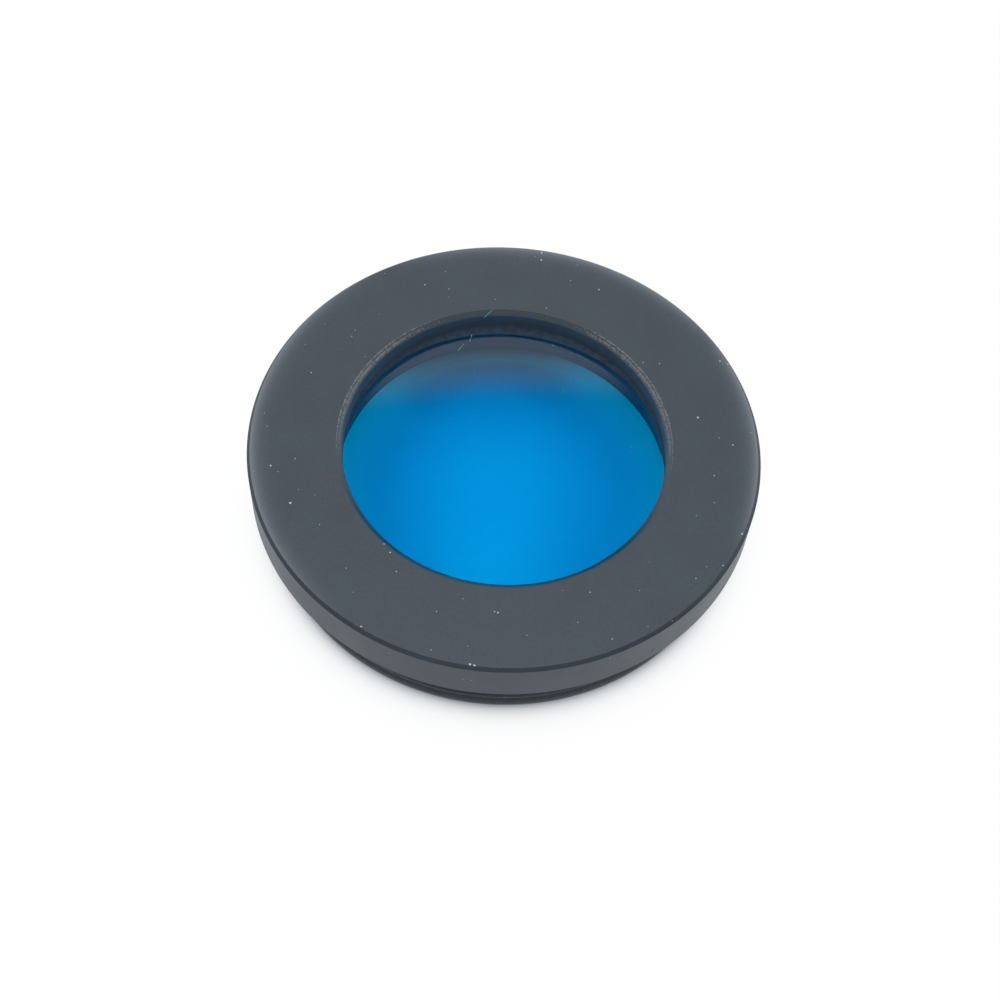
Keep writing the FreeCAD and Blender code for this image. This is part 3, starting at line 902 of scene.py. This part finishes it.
def floor_material(stage):
    """A pale floor that keeps the shadow beside the thread and goes over into white away from it.

    The share of white at a distance d beyond the contact is 0.98 (1 - e^(-d / reach)), for the rays
    that look at the floor, straight, in the metal or through the glass, and in the metal it has the
    tint of the light. Other rays find the lit floor. Under the glass painted light, given off by the
    floor, makes it paler in the middle, where the lamp shines in, and at the sides. At the back a
    painted shadow of the cell darkens it, and a painted contact shadow darkens the band beside the
    thread. From below the camera looks through it.
    """
    constants = {"Roughness": 1.0, "Specular IOR Level": 0.0, "Emission Strength": 1.0}
    material, tree, shader, place = new_material("pale_floor", constants)
    path = node(tree, "ShaderNodeLightPath").outputs
    seen = highest(tree, path["Is Camera Ray"], path["Is Glossy Ray"], path["Is Transmission Ray"])
    distance, _ = from_axis(tree, place)
    contact = THREAD_RADIUS + stage.contact
    beyond = maths(tree, "MAXIMUM", maths(tree, "SUBTRACT", distance, contact), 0.0)
    fading = maths(tree, "EXPONENT", product(tree, beyond, -1 / stage.shadow_reach))
    white = product(tree, rest(tree, fading), 0.98, seen)

    # Painted light: under the glass the floor gives off light, palest in the middle and at the sides,
    # with a thin arc at the back
    parts = node(tree, "ShaderNodeSeparateXYZ", place).outputs
    across = maths(tree, "MULTIPLY_ADD", parts["X"], 1 / stage.glow_width, 0.09)
    bell = maths(tree, "EXPONENT", product(tree, across, across, -1.0))
    toward_front = ramp(tree, parts["Y"], -9 * MM, -1 * MM, stage.glow_front, 0.0)
    toward_back = ramp(tree, parts["Y"], 0.0, 9.5 * MM, stage.glow_middle, 0.0)
    middle = product(tree, bell, maths(tree, "ADD", toward_front, toward_back))
    behind = toward(tree, place, 99, 0.72)
    outer = ramp(tree, distance, 7.0 * MM, 11 * MM, 0.0, 1.0)
    beside = product(tree, rest(tree, behind), outer)
    under = maths(tree, "LESS_THAN", distance, RING_RADIUS)
    arc = near_edge(tree, place, 10.75 * MM, 0.0, 0.7)
    painted_arc_light = product(tree, arc, behind, stage.glow_back)
    painted_light_spots = maths(tree, "MULTIPLY_ADD", beside, stage.glow_sides, middle)
    painted_floor_light = product(tree, maths(tree, "ADD", painted_light_spots, painted_arc_light), under)
    # Painted shadow: the floor under the back of the glass is darkened as if in the cell's shadow
    painted_back_shadow = product(tree, behind, outer, under, stage.painted_shade_back)
    # Painted contact shadow: the floor is darkened in a narrow band beside the thread
    painted_crease_shadow = ramp(tree, distance, THREAD_RADIUS + 0.04 * MM, contact, stage.painted_crease_shadow, 0.0)
    shadow = highest(tree, painted_back_shadow, product(tree, painted_crease_shadow, rest(tree, under)))

    paper = mixed(tree, seen, [stage.floor_lit] * 3, stage.floor_shown)
    below = node(tree, "ShaderNodeNewGeometry").outputs["Backfacing"]
    join(tree, rest(tree, product(tree, below, path["Is Camera Ray"])), shader.inputs["Alpha"])
    black = (0, 0, 0)
    join(tree, mixed(tree, highest(tree, white, shadow), paper, black), shader.inputs["Base Color"])
    pale = mixed(tree, path["Is Glossy Ray"], (1, 1, 1), stage.daylight)
    join(tree, mixed(tree, highest(tree, white, painted_floor_light), black, pale), shader.inputs["Emission Color"])
    return material


def dress(piece, material, replaced=None):
    """Gives a piece its material, and its place in the part."""
    piece.data.materials.append(material)
    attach(piece, ROOT_BODY)
    if replaced:
        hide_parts(replaced)


class MOONFILTER_OT_groups(bpy.types.Operator):
    """Make the shared node groups of the finishes"""

    bl_idname = "moonfilter.groups"
    bl_label = "Finishes"

    def execute(self, context):
        make_blasted_grain()
        make_turned_edge()
        make_toward_side()
        make_rubbed()
        make_fine_specks()
        make_placed_chips()
        return {"FINISHED"}


class MOONFILTER_OT_cell(bpy.types.Operator):
    """Turn the black cell with its flange, threads, lip and bevels"""

    bl_idname = "moonfilter.cell"
    bl_label = "Filter cell"

    def execute(self, context):
        cell = context.scene.moon_filter_cell
        piece = add_mesh("turned_cell", [skin(cell_surface(cell, context.scene.moon_filter_inside))])
        material = cell_material(cell, context.scene.moon_filter_finish)
        dress(piece, material, "filter_cell")
        return {"FINISHED"}


class MOONFILTER_OT_glass(bpy.types.Operator):
    """Grind the blue glass disc with its bevels"""

    bl_idname = "moonfilter.glass"
    bl_label = "Filter glass"

    def execute(self, context):
        piece = add_mesh("blue_glass", [skin(*glass_surface(context.scene.moon_filter_inside))])
        material = glass_material(context.scene.moon_filter_finish)
        dress(piece, material, "filter_glass")
        return {"FINISHED"}


class MOONFILTER_OT_ring(bpy.types.Operator):
    """Turn the retaining ring with its thread and spanner slots"""

    bl_idname = "moonfilter.ring"
    bl_label = "Retaining ring"

    def execute(self, context):
        inside = context.scene.moon_filter_inside
        piece = add_mesh("threaded_ring", [skin(ring_surface(inside))])
        material = ring_material(inside, context.scene.moon_filter_finish)
        dress(piece, material, "retaining_ring")
        return {"FINISHED"}


class MOONFILTER_OT_dust(bpy.types.Operator):
    """Lay the dust and the lint on the glass and on the edge of the opening, and the pale bead of painted
    light along the lip
    """

    bl_idname = "moonfilter.dust"
    bl_label = "Dust and lint"

    def execute(self, context):
        inside = context.scene.moon_filter_inside
        material = dust_material(context.scene.moon_filter_finish)
        grains = add_mesh("dust_grains", [skin(*grain) for grain in grain_surfaces(inside)])
        lint = add_mesh("lint", [skin(*fibre) for fibre in fibre_surfaces(inside)])
        dress(grains, material)
        dress(lint, material)
        cell = context.scene.moon_filter_cell
        # The pale bead in the corner along the lip: painted light that lifts the shade there
        bead = add_mesh("painted_light_in_corner", [skin(bead_surface(cell, inside))], smooth=False)
        dress(bead, painted_light_bead_material(context.scene.moon_filter_finish))
        return {"FINISHED"}


class MOONFILTER_OT_stage(bpy.types.Operator):
    """Set the pale floor, the soft light and the camera"""

    bl_idname = "moonfilter.stage"
    bl_label = "Stage"

    def execute(self, context):
        stage = context.scene.moon_filter_stage
        add_floor(stage)
        add_light(context.scene, stage)
        add_camera(context.scene, stage)
        context.scene.view_settings.view_transform = "Standard"
        return {"FINISHED"}


def add_floor(stage):
    """A round floor at the height that the filter rests on."""
    rim = turned(stage.floor_radius, 0.0, round_the_axis(96)[0])
    face = np.arange(len(rim))[None]
    floor = add_mesh("pale_floor", [(rim, face[:0], face)], smooth=False)
    floor.data.materials.append(floor_material(stage))


def add_light(scene, stage):
    """Soft studio light all from the world, by the height z of a direction.

    A bright backdrop stands behind and beside the filter up to 52 degrees, dimmer towards the front
    and just under its upper edge, which leans a little. A dark ceiling follows, and a soft lamp fills
    it above 62 degrees. The camera sees plain white, straight or through the glass.
    """
    world = bpy.data.worlds.new("soft_studio")
    world.use_nodes = True
    scene.world = world
    tree = world.node_tree
    parts = node(tree, "ShaderNodeSeparateXYZ", node(tree, "ShaderNodeTexCoord").outputs["Generated"])
    x, y, z = parts.outputs
    rising = ramp(tree, z, 0.2, 0.7, 0.4 * stage.backdrop, stage.backdrop)
    dimmer = ramp(tree, z, 0.7, 0.77, 1.0, 0.67)
    leaning = maths(tree, "MULTIPLY_ADD", x, 0.06, z)
    top = stage.backdrop_edge
    edge = ramp(tree, leaning, math.sin(top), math.sin(top + math.radians(1.6)), 1.0, 0.0)
    front = ramp(tree, y, -0.35, 0.2, 0.5, 1.0)
    foot = stage.lamp_edge
    lamp = ramp(tree, z, math.sin(foot), math.sin(foot + math.radians(4.5)), 0.015, stage.lamp)
    level = maths(tree, "ADD", product(tree, rising, dimmer, edge, front), lamp)
    path = node(tree, "ShaderNodeLightPath").outputs
    bounced = maths(tree, "ADD", path["Diffuse Depth"], path["Glossy Depth"])
    straight = maths(tree, "LESS_THAN", bounced, 0.5)
    through_glass = product(tree, path["Is Transmission Ray"], straight)
    looked_at = highest(tree, path["Is Camera Ray"], through_glass)
    shown = node(tree, "ShaderNodeMix", looked_at, None, level, 1.0, data_type="FLOAT")
    join(tree, shown.outputs[0], tree.nodes["Background"].inputs["Strength"])
    tint = mixed(tree, looked_at, stage.daylight, (1, 1, 1))
    join(tree, tint, tree.nodes["Background"].inputs["Color"])


def add_camera(scene, stage):
    """The photograph's view: a distance and elevation from the middle of the top face, then a roll."""
    elevation = stage.camera_elevation
    middle = Vector((0, 0, CELL_TOP))
    spot = middle + Vector((0, -math.cos(elevation), math.sin(elevation))) * stage.camera_distance
    aim = middle + Vector((-stage.aim_left, -stage.aim_forward, 0))
    data = bpy.data.cameras.new("camera")
    data.lens = stage.lens
    data.sensor_width = 36.0
    data.clip_start = 0.001
    data.clip_end = 10.0
    camera = bpy.data.objects.new("camera", data)
    turn = (aim - spot).to_track_quat("-Z", "Y").to_matrix()
    roll = Matrix.Rotation(stage.camera_roll, 3, "Z")
    camera.matrix_world = Matrix.Translation(spot) @ (turn @ roll).to_4x4()
    scene.collection.objects.link(camera)
    scene.camera = camera


class MOONFILTER_PT_panel(bpy.types.Panel):
    bl_label = "Moon Filter"
    bl_space_type = "VIEW_3D"
    bl_region_type = "UI"
    bl_category = "Moon Filter"

    def draw(self, context):
        for operator in OPERATORS:
            self.layout.operator(operator.bl_idname)


OPERATORS = (
    MOONFILTER_OT_groups,
    MOONFILTER_OT_cell,
    MOONFILTER_OT_glass,
    MOONFILTER_OT_ring,
    MOONFILTER_OT_dust,
    MOONFILTER_OT_stage,
)
CLASSES = (*SETTINGS.values(), *OPERATORS, MOONFILTER_PT_panel)
add_classes, remove_classes = bpy.utils.register_classes_factory(CLASSES)


def register():
    add_classes()
    for name, kind in SETTINGS.items():
        setattr(bpy.types.Scene, name, PointerProperty(type=kind))


def unregister():
    for name in reversed(SETTINGS):
        delattr(bpy.types.Scene, name)
    remove_classes()


def main():
    register()
    bpy.ops.moonfilter.groups()
    bpy.ops.moonfilter.cell()
    bpy.ops.moonfilter.glass()
    bpy.ops.moonfilter.ring()
    bpy.ops.moonfilter.dust()
    bpy.ops.moonfilter.stage()


if __name__ == "__main__":
    main()
